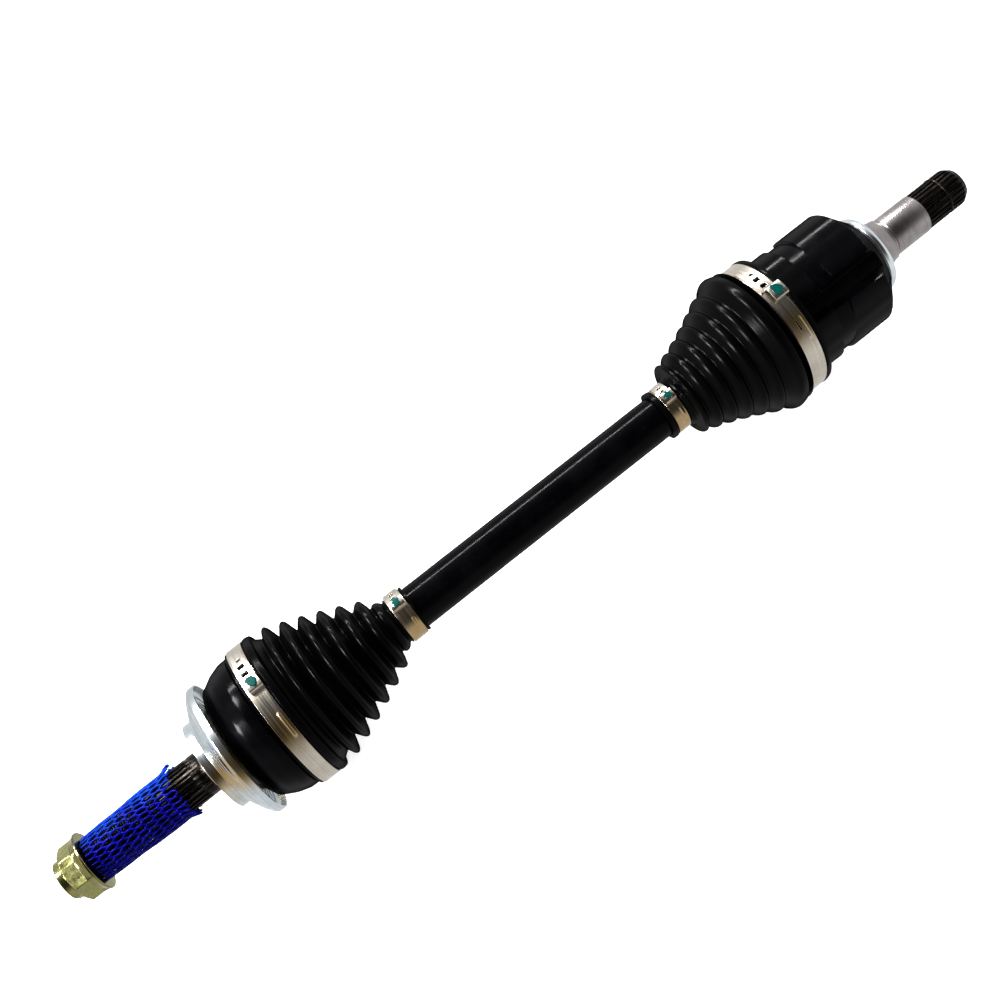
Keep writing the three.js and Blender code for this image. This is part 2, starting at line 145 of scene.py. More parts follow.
def filleted(points, radius, steps=4, closed=False):
    """The outline with each corner rounded; every corner becomes steps + 1 points."""
    result = []
    count = len(points)
    for i, corner in enumerate(points):
        if not closed and i in (0, count - 1):
            result.append(corner)
            continue
        p = Vector(corner)
        before = Vector(points[i - 1]) - p
        after = Vector(points[(i + 1) % count]) - p
        reach = min(radius, 0.45 * before.length, 0.45 * after.length)
        a = p + before.normalized() * reach if before.length > 1e-9 else p
        b = p + after.normalized() * reach if after.length > 1e-9 else p
        for k in range(steps + 1):
            t = k / steps
            q = a * (1 - t) ** 2 + p * (2 * t * (1 - t)) + b * t ** 2
            result.append((q.x, q.y))
    return result


def add_piece(name, vertices, faces, materials, pick=None, sharp=38):
    """A mesh object from millimetre vertices. pick(x, y, z) chooses a material slot for each face."""
    mesh = bpy.data.meshes.new(name)
    mesh.from_pydata((np.asarray(vertices, float) * MM).tolist(), [], faces)
    bm = bmesh.new()
    bm.from_mesh(mesh)
    bmesh.ops.remove_doubles(bm, verts=bm.verts, dist=1e-7)
    bmesh.ops.recalc_face_normals(bm, faces=bm.faces)
    if pick:
        for face in bm.faces:
            face.material_index = pick(*(face.calc_center_median() / MM))
    bm.to_mesh(mesh)
    bm.free()
    mesh.shade_smooth()
    mesh.set_sharp_from_angle(angle=radians(sharp))
    for material in materials:
        mesh.materials.append(material)
    piece = bpy.data.objects.new(name, mesh)
    bpy.context.scene.collection.objects.link(piece)
    return piece


def revolve(name, profile, materials, columns=144, closed=False, pick=None, sharp=38):
    """A body turned about X from [(x, radius), ...], or from a function of the angle that gives them.

    A closed profile makes a ring. An open one starts and ends on the axis.
    """
    vertices = []
    for c in range(columns):
        angle = TAU * c / columns
        outline = profile(angle) if callable(profile) else profile
        vertices += [(x, r * sin(angle), r * cos(angle)) for x, r in outline]
    rows = len(vertices) // columns
    faces = []
    for c in range(columns):
        here, there = c * rows, (c + 1) % columns * rows
        for k in range(rows if closed else rows - 1):
            m = (k + 1) % rows
            faces.append((here + k, here + m, there + m, there + k))
    return add_piece(name, vertices, faces, materials, pick, sharp)


def add_modifier(piece, kind, **settings):
    m = piece.modifiers.new(kind.lower(), kind)
    for key, value in settings.items():
        setattr(m, key, value)


def place(piece, body, slot, *nodes):
    """The piece rides on a body and stands for the CAD nodes given. slot is not used."""
    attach(piece, body)
    if nodes:
        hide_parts(*nodes)
    return piece


# ---------------------------------------------------------------- materials
class Paint:
    """A principled material whose inputs are built from procedural nodes."""

    def __init__(self, name, **inputs):
        self.material = bpy.data.materials.new(name)
        self.material.use_nodes = True
        self.tree = self.material.node_tree
        self.shader = self.tree.nodes["Principled BSDF"]
        self.place = self.node("ShaderNodeTexCoord").outputs["Object"]
        self.set(**inputs)

    def node(self, kind, inputs=None, **settings):
        n = self.tree.nodes.new(kind)
        for key, value in settings.items():
            setattr(n, key, value)
        for key, value in (inputs or {}).items():
            self.plug(value, n.inputs[key])
        return n

    def plug(self, value, socket):
        if isinstance(value, bpy.types.NodeSocket):
            self.tree.links.new(value, socket)
        else:
            socket.default_value = value

    def set(self, **inputs):
        for key, value in inputs.items():
            self.plug(value, self.shader.inputs[key.replace("_", " ")])

    def stretched(self, x, y, z):
        """The place on the object, stretched along each axis."""
        return self.node("ShaderNodeMapping", {"Vector": self.place, "Scale": (x, y, z)}).outputs[0]

    def noise(self, scale, detail=3.0, where=None, roughness=0.55):
        inputs = {"Vector": where or self.place, "Scale": scale, "Detail": detail, "Roughness": roughness}
        return self.node("ShaderNodeTexNoise", inputs).outputs[0]

    def remap(self, value, low, high, to_low=0.0, to_high=1.0):
        inputs = {0: value, 1: low, 2: high, 3: to_low, 4: to_high}
        return self.node("ShaderNodeMapRange", inputs, clamp=True).outputs[0]

    def blend(self, share, first, second):
        n = self.node("ShaderNodeMix", data_type="RGBA")
        self.plug(share, n.inputs[0])
        for value, socket in ((first, n.inputs[6]), (second, n.inputs[7])):
            self.plug(value if isinstance(value, bpy.types.NodeSocket) else (*value, 1.0), socket)
        return n.outputs[2]

    def tint_along(self, axis, low, high, colour, most=0.8, until=None):
        """Blends a patchy colour over the base, rising between two places along an object axis, in metres.

        Past the place until, where there is one, it fades out again.
        """
        along = self.node("ShaderNodeSeparateXYZ", {0: self.place}).outputs[axis]
        share = self.remap(along, low, high, 0.0, most)
        if until is not None:
            share = self.maths("MULTIPLY", share, self.remap(along, until, until + high - low, 1.0, 0.0))
        share = self.maths("MULTIPLY", share, self.remap(self.noise(70, 3), 0.3, 0.6, 0.35, 1.0))
        base = self.shader.inputs["Base Color"].links[0].from_socket
        self.set(Base_Color=self.blend(share, base, colour))

    def maths(self, operation, a, b):
        return self.node("ShaderNodeMath", {0: a, 1: b}, operation=operation).outputs[0]

    def bumps(self, *layers):
        """Layers of (height, strength, distance in millimetres), one over the other."""
        normal = None
        for height, strength, distance in layers:
            inputs = {"Height": height, "Strength": strength, "Distance": distance * MM}
            if normal:
                inputs["Normal"] = normal
            normal = self.node("ShaderNodeBump", inputs).outputs[0]
        self.plug(normal, self.shader.inputs["Normal"])
        return self.material


GRAZING = (0.55, 0.9)  # how edge-on a surface is where the dulling starts, and where it is complete
GRAZING_ROUGHNESS = 0.45
BLACK_SHINE = 0.07


def matt_at_the_rim(p, roughness):
    """Rubber and satin paint grow rougher and duller at grazing angles.

    So they don't mirror the lamps along their outline.
    """
    facing = p.node("ShaderNodeLayerWeight", {"Blend": 0.5}).outputs["Facing"]
    p.set(Roughness=p.maths("ADD", roughness, p.remap(facing, *GRAZING, 0.0, GRAZING_ROUGHNESS)))
    p.set(Specular_IOR_Level=p.remap(facing, *GRAZING, BLACK_SHINE, 0.0))


def black_paint():
    p = Paint("black_paint", Metallic=0.0, IOR=1.5)
    wear = p.remap(p.noise(55, 6), 0.45, 0.75)
    dust = p.remap(p.noise(900, 2), 0.68, 0.78)
    tone = p.blend(wear, (0.0006, 0.0006, 0.001), (0.002, 0.002, 0.0026))
    p.set(Base_Color=p.blend(p.maths("MULTIPLY", dust, 0.2), tone, (0.03, 0.03, 0.03)))
    matt_at_the_rim(p, p.remap(p.noise(140, 5), 0.3, 0.7, 0.12, 0.22))
    return p.bumps((p.noise(420, 3), 0.18, 0.12), (p.noise(2600, 2), 0.1, 0.03))


def rubber():
    p = Paint("boot_rubber", Metallic=0.0, IOR=1.48)
    bloom = p.remap(p.noise(38, 6), 0.4, 0.8)
    tone = p.blend(bloom, (0.0006, 0.0006, 0.0008), (0.0018, 0.0018, 0.0021))
    p.set(Base_Color=tone)
    matt_at_the_rim(p, p.remap(p.noise(90, 5), 0.3, 0.7, 0.16, 0.28))
    flow = p.noise(500, 3, p.stretched(0.4, 1, 1))
    return p.bumps((flow, 0.14, 0.15), (p.noise(4200, 2), 0.16, 0.03))


# Painted reflection: metal given it is painted darker amber in a stripe along the axle, just to the −Y side
# of its axis.
PAINTED_REFLECTION_RISE = (-0.024, -0.013)  # places across the axle, in metres, where the painted darker amber reflection comes in
PAINTED_REFLECTION_END = -0.003


def turned_metal(name, base, shade, roughness, streaks=1500.0, depth=0.25, patches=60.0, grain=0.5,
                 painted_reflection=None):
    """A metal with fine marks running around the axle, a slow change of tone and, if given, a painted darker
    amber reflection.
    """
    p = Paint(name, Metallic=1.0)
    marks = p.noise(1.0, 4, p.stretched(streaks, streaks / 45, streaks / 45))
    tone = p.blend(p.remap(p.noise(patches, 4), 0.35, 0.7), base, shade)
    p.set(Base_Color=p.blend(p.remap(marks, 0.3, 0.75, 0.0, grain), tone, tuple(0.5 * c for c in shade)))
    # Painted reflection: the given amber colour is blended in along a stripe just to the −Y side of the
    # axis.
    if painted_reflection:
        p.tint_along(1, *PAINTED_REFLECTION_RISE, painted_reflection, 0.95, until=PAINTED_REFLECTION_END)
    p.set(Roughness=p.remap(marks, 0.3, 0.7, roughness * 0.75, roughness * 1.4))
    return p.bumps((marks, depth, 0.05), (p.noise(700, 3), 0.08, 0.05))


def yellow_zinc():
    """Passivated plate on a forged nut: olive gold that drifts to green and rose, over a mottled skin."""
    p = Paint("yellow_zinc", Metallic=1.0)
    drift = p.remap(p.noise(85, 4), 0.35, 0.65)
    tone = p.blend(drift, (0.43, 0.41, 0.15), (0.32, 0.37, 0.14))
    rose = p.remap(p.noise(160, 3), 0.58, 0.75)
    tone = p.blend(p.maths("MULTIPLY", rose, 0.35), tone, (0.50, 0.30, 0.17))
    specks = p.remap(p.noise(1500, 3), 0.35, 0.65)
    p.set(Base_Color=p.blend(specks, (0.25, 0.23, 0.12), tone))
    p.set(Roughness=p.remap(p.noise(320, 4), 0.3, 0.7, 0.24, 0.42))
    return p.bumps((p.noise(900, 4), 0.3, 0.12), (p.noise(2600, 2), 0.2, 0.04))


def dark_spline():
    """Phosphated and oiled spline: near black, with bright gold-brown lands."""
    p = Paint("oiled_spline", Metallic=1.0)
    along = p.noise(1.0, 4, p.stretched(60, 1800, 1800))
    tone = p.blend(p.remap(along, 0.46, 0.72), (0.005, 0.0045, 0.004), (0.075, 0.065, 0.055))
    p.set(Base_Color=tone, Roughness=p.remap(p.noise(500, 4), 0.3, 0.7, 0.22, 0.42))
    return p.bumps((along, 0.2, 0.05), (p.noise(1400, 3), 0.15, 0.04))


def net_plastic():
    p = Paint("net_plastic", Metallic=0.0, IOR=1.5, Specular_IOR_Level=0.06)
    tone = p.blend(p.remap(p.noise(220, 3), 0.35, 0.65), (0.0, 0.0002, 0.085), (0.0, 0.0008, 0.19))
    p.set(Base_Color=tone, Roughness=p.remap(p.noise(400, 3), 0.3, 0.7, 0.22, 0.38))
    # Painted light: the net's side towards +Y, where the lamps stand, is painted a lighter blue.
    p.tint_along(1, 0.004, 0.015, (0.0, 0.06, 0.36), 0.6)
    return p.bumps((p.noise(1500, 3), 0.25, 0.06))


def marker_paint():
    p = Paint("marker_paint", Metallic=0.0, Specular_IOR_Level=0.1)
    tone = p.blend(p.remap(p.noise(900, 3), 0.3, 0.7), (0.0, 0.028, 0.026), (0.0, 0.065, 0.058))
    p.set(Base_Color=tone, Roughness=0.35)
    return p.bumps((p.noise(1600, 3), 0.3, 0.06))


def polished_steel():
    p = Paint("polished_steel", Metallic=1.0)
    p.set(Base_Color=p.blend(p.noise(120, 3), (0.42, 0.42, 0.44), (0.62, 0.62, 0.63)))
    p.set(Roughness=p.remap(p.noise(600, 3), 0.3, 0.7, 0.1, 0.22))
    return p.bumps((p.noise(1800, 2), 0.06, 0.03))


BLACK = black_paint()
RUBBER = rubber()
NECK_STEEL = turned_metal("neck_steel", (0.62, 0.58, 0.5), (0.36, 0.32, 0.27), 0.22)
GROUND_STEEL = turned_metal("ground_steel", (0.50, 0.47, 0.46), (0.30, 0.28, 0.28), 0.28, 2600)
# The shield's zinc and the clamp bands carry the painted darker amber reflection; the seal ring's zinc has
# none.
ZINC = turned_metal("bright_zinc", (0.70, 0.76, 0.80), (0.52, 0.56, 0.56), 0.2, 700, 0.1, grain=0.3,
                    painted_reflection=(0.50, 0.36, 0.16))
SEAL_ZINC = turned_metal("seal_zinc", (0.86, 0.90, 0.93), (0.66, 0.72, 0.76), 0.18, 700, 0.1, grain=0.25)
# The amber colour given to the bands is a painted reflection.
BAND_STEEL = turned_metal("band_steel", (0.66, 0.62, 0.55), (0.46, 0.41, 0.34), 0.26, 900, 0.06, 40.0, 0.22,
                          painted_reflection=(0.42, 0.29, 0.13))
# Painted reflection, in part: the very dark second tone gives the nut's turned collar and flange dark
# patches that stand for dark reflections; the fine marks are its turning marks.
TURNED_ZINC = turned_metal("turned_yellow_zinc", (0.44, 0.42, 0.18), (0.24, 0.22, 0.09), 0.14, 1200, 0.12,
                           grain=0.85)
YELLOW_ZINC = yellow_zinc()
SPLINE_STEEL = dark_spline()
NET = net_plastic()
MARKER = marker_paint()
POLISHED = polished_steel()
CAGE_STEEL = turned_metal("cage_steel", (0.20, 0.19, 0.19), (0.12, 0.12, 0.12), 0.32)


# ---------------------------------------------------------------- wheel-end joint
BALLS = 6
BALL_PITCH = 29.0  # from the joint's centre to the middle of a groove
TRACK_RADIUS = 9.4
CAVITY_RADIUS = 30


def groove_reach(x, angle):
    """How far from the axis a ball groove reaches at x and an angle, or 0 where there is no groove."""
    off = turn_difference(angle * BALLS, 0) / BALLS
    samples = np.linspace(14, 40, 261)
    in_plane = np.hypot(x - OUTER_CENTRE, samples * cos(off)) - BALL_PITCH
    inside = samples[in_plane ** 2 + (samples * sin(off)) ** 2 <= TRACK_RADIUS ** 2]
    return inside[-1] if len(inside) else 0


def sphere_rows(radius, low, high, count):
    """Outline points of a sphere about the outer joint's centre, between two distances from it along X."""
    stations = np.linspace(low, high, count)
    return [(OUTER_CENTRE + s, sqrt(max(radius ** 2 - s ** 2, 0))) for s in stations]


def joint_bell():
    """The forged bell: black outside, bare at the neck, with a spherical cavity and six ball grooves."""
    _, mouth = span("outer_joint_housing")
    _, bell = radii("outer_joint_housing")
    shoulder = next(m["pos_m"][0] for m in frame["record"]["mounts"] if m["name"] == "hub_shoulder") / MM
    seat = 25.2
    outside = filleted([
        (shoulder, 0.0), (shoulder, seat - 0.6), (shoulder + 0.6, seat), (OUTER_CENTRE - 27, seat),
        (OUTER_CENTRE - 22.4, 30), (OUTER_CENTRE - 19.6, 35.8), (OUTER_CENTRE - 11, 40.6),
        (OUTER_CENTRE - 4, 42.8), (OUTER_CENTRE + 1, bell), (OUTER_CENTRE + 1.6, 41.8), (mouth, 41.8),
        (mouth, 37.2),
    ], 1.4, 4)
    cavity = sphere_rows(CAVITY_RADIUS, -24, 0, 16)[::-1]
    flare = np.linspace(mouth - 1, OUTER_CENTRE + 1, 18)
    stations = [(x, CAVITY_RADIUS + 7 * smoothstep(11, 18, x - OUTER_CENTRE)) for x in flare]

    def profile(angle):
        inside = []
        for x, r in stations + cavity:
            inside.append((x, max(r, groove_reach(x, angle))))
        return outside + inside + [(cavity[-1][0], 0.0)]

    def pick(x, y, z):
        return 1 if x < OUTER_CENTRE - 21 and hypot(y, z) > 15 else 0

    bell_piece = revolve("joint_bell", profile, [BLACK, NECK_STEEL], 216, pick=pick)
    place(bell_piece, "outer_joint", "black_paint", "outer_joint_housing")


def spline_radius(angle, root, tip, teeth):
    """Straight-flanked teeth: tip on the lands, root in the gaps."""
    phase = abs(turn_difference(angle * teeth, 0)) / pi
    return root + (tip - root) * (1 - smoothstep(0.34, 0.62, phase))


def wheel_stub():
    """The splined stub that the hub slides on: a helical thread at the nut, then straight teeth."""
    low, _ = span("outer_joint_housing")
    teeth, root, tip = 26, 11.7, 13.0
    thread, pitch, depth = 11.35, 1.5, 0.85
    thread_end, spline_start, spline_end, shoulder = -275.6, -274.6, -235.5, -226.0
    turns = np.arange(low + 1.4, thread_end, pitch / 7)

    def profile(angle):
        points = [(low, 0.0), (low, thread - 1.6), (low + 1.2, thread - depth)]
        for x in turns:
            phase = abs((x / pitch + angle / TAU) % 1 - 0.5) * 2
            points.append((x, thread - depth * smoothstep(0.1, 0.95, phase)))
        points += [(thread_end, thread - depth), (spline_start - 0.6, thread - depth)]
        for x in np.linspace(spline_start, spline_end + 4, 26):
            rise = smoothstep(spline_end - 1.5, spline_end + 2.5, x)
            lead = smoothstep(spline_start, spline_start + 1.6, x)
            toothed = spline_radius(angle, root, tip, teeth)
            points.append((x, 11 + (toothed * (1 - rise) + tip * rise - 11) * lead))
        points += [(-231.0, tip), (-230, 13.15), (-228.6, 13.6), (-227.3, 14.4), (-226.4, 15.3)]
        return points + [(shoulder, 16.2), (shoulder, 0.0)]

    stub = revolve("wheel_stub_spline", profile, [SPLINE_STEEL, NECK_STEEL], teeth * 14, sharp=30,
                   pick=lambda x, y, z: 1 if x > -228.2 else 0)
    place(stub, "outer_joint", "black_paint")


def dust_shield():
    """A thin pressed ring: a hub that grips the neck, three rolled ridges and a rim curled like a cup."""
    x0, x1 = span("dust_shield")
    hub, rim = radii("dust_shield")
    skin = 1.1
    ridges, tread, rise = 4, 1.4, 2.55
    face = [(x0, hub + 2.2), (x0 + 5.4, hub + 2.2)]
    for step in range(ridges):
        x, r = x0 + 6.1 + tread * step, hub + 5.2 + rise * step
        face += [(x, r), (x + 1.0, r + 0.7)]
    face += [(x0 + 12.2, rim - 1.5), (x0 + 13.9, rim), (x1, rim)]
    outer = filleted(face, 0.8, 4)
    inner = [(x + skin * 0.8, r - skin) for x, r in face]
    inner[0] = (x0, hub)
    inner[1] = (x0 + 6.4, hub)
    inner[-1] = (x1, rim - skin)
    inner[-2] = (x0 + 14.6, rim - skin)
    ring = outer + filleted(inner, 0.7, 4)[::-1]
    shield = revolve("dust_shield_pressing", ring, [ZINC], 192, closed=True)
    place(shield, "outer_joint", "bright_zinc", "dust_shield")


def hub_nut():
    """A flanged hex nut whose thin collar is staked into the stub's keyway."""
    x0, x1 = span("hub_nut")
    bore, flange = radii("hub_nut")
    flat, corner, top = 15.0, 17.12, 14.5
    x_top = x0 + 4.8
    turn = radians(8.4)
    stake_at, stake_spread, stake_depth = radians(-75), 9, 1.1
    chamfer = tan(radians(60))

    def profile(angle):
        off = turn_difference(angle * 6, turn * 6) / 6
        hexagon = min(flat / cos(off), corner)
        stake = stake_depth * np.exp(-(degrees(turn_difference(angle, stake_at)) / stake_spread) ** 2)
        bevel = x_top + (hexagon - top) / chamfer
        return [
            (x0 + 0.2, bore - stake), (x0, 11.7 - stake), (x0 + 0.5, 12.1 - 0.8 * stake),
            (x_top - 0.9, 12.25), (x_top - 0.5, 12.9), (x_top, 13.2), (x_top, top),
            (x_top + 0.12, top + 0.25), (bevel, hexagon - 0.12), (bevel + 0.25, hexagon),
            (x0 + 13.2, hexagon),
            (x0 + 13.7, max(hexagon + 0.1, 15.9)), (x0 + 14.2, max(hexagon + 0.15, 16.0)),
            (x1 - 1.6, 17.9), (x1 - 1.1, flange), (x1 - 0.4, flange), (x1, flange - 0.4), (x1, bore),
        ]

    def pick(x, y, z):
        return 1 if x > x0 + 13.9 or x < x0 + 4.7 else 0

    nut = revolve("hub_nut_body", profile, [YELLOW_ZINC, TURNED_ZINC], 360, closed=True, pick=pick, sharp=24)
    place(nut, "outer_joint", "yellow_zinc", "hub_nut")


# ---------------------------------------------------------------- protective net
def thread_net():
    """An extruded plastic net, frayed at the joint end.

    Its zigzag strands touch their neighbours at each knot.
    """
    x0, x1 = span("thread_sleeve")
    strands, cell, thick, steps = 54, 11.9, 0.62, 10
    sleeve = outer_outline("thread_sleeve")
    rng = np.random.default_rng(7)
    curve = bpy.data.curves.new("thread_net", "CURVE")
    curve.dimensions = "3D"
    curve.bevel_depth = thick * MM
    curve.bevel_resolution = 2
    curve.use_fill_caps = True
    for i in range(strands):
        base = TAU * i / strands
        sign = 1 if i % 2 else -1
        start = x0 + rng.uniform(0.1, 0.9)
        end = x1 - rng.uniform(0, 3.5)
        frayed = 1.3 * max(0, rng.normal(0.1, 0.6))
        points = []
        count = int((end - start) / cell * steps)
        for k in range(count + 1):
            x = start + (end - start) * k / count
            zigzag = abs(turn_difference(TAU * x / cell, 0)) / pi
            wave = 2 * smoothstep(0.2, 0.8, zigzag) - 1
            lean = 0.05 * sin(0.11 * x + 2 * sin(base)) - 0.004 * (x - x0)
            angle = base + sign * 0.97 * pi / strands * wave + lean
            r = np.interp(x, *zip(*sleeve)) - 0.6 + 0.35 * sin(x * 0.09 + 2 * base) ** 2
            r += frayed * smoothstep(x1 - 7, x1, x)
            points.append((x * MM, r * sin(angle) * MM, r * cos(angle) * MM))
        line = curve.splines.new("POLY")
        line.points.add(len(points) - 1)
        for point, place_at in zip(line.points, points):
            point.co = (*place_at, 1.0)
    net = bpy.data.objects.new("thread_net", curve)
    bpy.context.scene.collection.objects.link(net)
    curve.materials.append(NET)
    place(net, "outer_joint", "blue_net", "thread_sleeve")


# ---------------------------------------------------------------- boots
BOOT_WALL = 2.3
NECK_BORE = 12.8  # a touch under the bar's radius, so that the neck grips it
OUTER_MOUTH_BORE = 42.1
OUTER_MOUTH_END = -166.4  # where the straight mouth under the large clamp ends
INNER_MOUTH_BORE = 38.3
INNER_STRETCH = (109, 163)  # the stations between which the inner boot stretches with the slide


def bore_under(x, r):
    """The point of the boot's inner face under a point of its outline."""
    return x, max(r - BOOT_WALL, NECK_BORE)


def bellows_outline(node):
    """A boot's outer outline with full round crests that keep their height, and tight valleys."""
    points = outer_outline(node)
    result = [points[0]]
    for before, here, after in zip(points, points[1:], points[2:]):
        corner = Vector(here)
        crest = here[1] > max(before[1], after[1])
        arms = [Vector(end) - corner for end in (before, after)]
        a, b = (arm.normalized() * min(3.4 if crest else 0.9, 0.47 * arm.length) for arm in arms)
        corner.y -= (a.y + b.y) / 4 if crest else 0
        for k in range(9):
            q = corner + a * (1 - k / 8) ** 2 + b * (k / 8) ** 2
            result.append((q.x, q.y))
    return result + [points[-1]]


def outer_boot():
    outside = bellows_outline("outer_boot")
    inside = [(x, OUTER_MOUTH_BORE) if x < OUTER_MOUTH_END else bore_under(x, r) for x, r in outside]
    boot = revolve("outer_boot_bellows", outside + inside[::-1], [RUBBER], 160, closed=True)
    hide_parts("outer_boot")
    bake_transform(boot)


def lobed(angle, radius, narrow=1.0):
    """Three wide lobes, each with one flat, and valleys midway between the roller tracks."""
    off = min(abs(turn_difference(angle, lobe + pi)) for lobe in LOBE_ANGLES)
    valley = radius - VALLEY_DEPTH * (1 - smoothstep(0.62, 1.0, off / (VALLEY_HALF * narrow)))
    off = min(abs(turn_difference(angle, middle)) for middle in FLAT_ANGLES)
    flat = radius - FLAT_DEPTH * (1 - smoothstep(FLAT_HALF * 0.3, FLAT_HALF * 1.7, off))
    return min(valley, flat)


def stretch_with_plunge(boot, start, end):
    """The boot's far end slides with the tripod housing, by an even stretch between two stations."""
    shares = [smoothstep(start, end, v.co.x / MM) for v in boot.data.vertices]
    boot.data.attributes.new("plunge_share", "FLOAT", "POINT").data.foreach_set("value", shares)
    tree = bpy.data.node_groups.new("boot_plunge", "GeometryNodeTree")
    for way in ("INPUT", "OUTPUT"):
        tree.interface.new_socket("Geometry", in_out=way, socket_type="NodeSocketGeometry")
    nodes, link = tree.nodes, tree.links.new
    source, sink = nodes.new("NodeGroupInput"), nodes.new("NodeGroupOutput")
    places = []
    for body in ("inner_joint", "inner_boot"):
        info = nodes.new("GeometryNodeObjectInfo")
        info.inputs["Object"].default_value = frame["bodies"][body]
        places.append(info.outputs["Location"])
    slide = nodes.new("ShaderNodeVectorMath")
    slide.operation = "SUBTRACT"
    link(places[0], slide.inputs[0])
    link(places[1], slide.inputs[1])
    share = nodes.new("GeometryNodeInputNamedAttribute")
    share.data_type = "FLOAT"
    share.inputs["Name"].default_value = "plunge_share"
    part = nodes.new("ShaderNodeVectorMath")
    part.operation = "SCALE"
    link(slide.outputs[0], part.inputs[0])
    link(share.outputs["Attribute"], part.inputs["Scale"])
    move = nodes.new("GeometryNodeSetPosition")
    link(source.outputs[0], move.inputs["Geometry"])
    link(part.outputs[0], move.inputs["Offset"])
    link(move.outputs[0], sink.inputs[0])
    boot.modifiers.new("plunge", "NODES").node_group = tree


def inner_boot():
    mouth, _ = span("tripod_housing")
    outside = bellows_outline("inner_boot")

    def profile(angle):
        collar = lobed(angle, INNER_MOUTH_BORE)
        inside = [(x, collar) if x > mouth - 0.6 else bore_under(x, r) for x, r in outside]
        return outside + inside[::-1]

    boot = revolve("inner_boot_bellows", profile, [RUBBER], 180, closed=True)
    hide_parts("inner_boot")
    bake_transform(boot)
    stretch_with_plunge(boot, *INNER_STRETCH)


# ---------------------------------------------------------------- clamps
def strip(name, node, body, radius, low, high, columns, holes=(), lift=None, shift=0.0, share=1.0):
    """A thin steel strip wrapped around the axle between two angles, with holes and raised places.

    holes are (arc position, arc length, x offset, width) in millimetres from low; lift(arc, offset) in
    millimetres; the strip is the node's width times share, moved along X by shift.
    """
    x0, x1 = band_ends(node)
    middle, half = (x0 + x1) / 2 + shift, (x1 - x0) / 2 * share
    full = high - low > TAU - 0.01
    rows = 26
    around = columns if full else columns + 1
    vertices, faces = [], []
    for i in range(around):
        angle = low + (high - low) * i / columns
        arc = (angle - low) * radius
        for j in range(rows + 1):
            offset = -half + 2 * half * j / rows
            r = radius + (lift(arc, offset) if lift else 0)
            vertices.append((middle + offset, r * sin(angle), r * cos(angle)))
    for i in range(columns):
        arc = (i + 0.5) / columns * (high - low) * radius
        for j in range(rows):
            offset = -half + 2 * half * (j + 0.5) / rows
            if any(abs(arc - a) < la / 2 and abs(offset - o) < w / 2 for a, la, o, w in holes):
                continue
            a, b = i * (rows + 1) + j, (i + 1) % around * (rows + 1) + j
            faces.append((a, b, b + 1, a + 1))
    piece = add_piece(name, vertices, faces, [BAND_STEEL], sharp=50)
    outward = sum(p.normal.dot(Vector((0, p.center.y, p.center.z))) for p in piece.data.polygons)
    if outward < 0:
        piece.data.flip_normals()
    add_modifier(piece, "SOLIDIFY", thickness=0.8 * MM, offset=1.0, use_even_offset=True)
    add_modifier(piece, "BEVEL", width=0.12 * MM, segments=2, limit_method="ANGLE", angle_limit=radians(50))
    return place(piece, body, "band_steel")


def paint_dab(name, body, x, radius, angle, size):
    """An irregular dab of marker paint on an ear."""
    rng = np.random.default_rng(int(abs(x)))
    waves = [(k, rng.uniform(0.04, 0.16), rng.uniform(0, TAU)) for k in (2, 3, 5)]
    columns, rings = 48, 6
    vertices = [(x, radius * sin(angle), radius * cos(angle))]
    for ring in range(1, rings + 1):
        share = ring / rings
        for c in range(columns):
            t = TAU * c / columns
            reach = size * share * (1 + sum(a * sin(k * t + p) for k, a, p in waves))
            turn = angle + reach * 1.1 * sin(t) / radius
            r = radius - 0.09 * share ** 4
            vertices.append((x + reach * cos(t), r * sin(turn), r * cos(turn)))
    faces = [(0, 1 + c, 1 + (c + 1) % columns) for c in range(columns)]
    for ring in range(rings - 1):
        for c in range(columns):
            a, b = 1 + ring * columns + c, 1 + ring * columns + (c + 1) % columns
            faces.append((a, a + columns, b + columns, b))
    dab = add_piece(name, vertices, faces, [MARKER], sharp=80)
    add_modifier(dab, "SOLIDIFY", thickness=0.1 * MM, offset=0.0)
    place(dab, body, "band_steel")


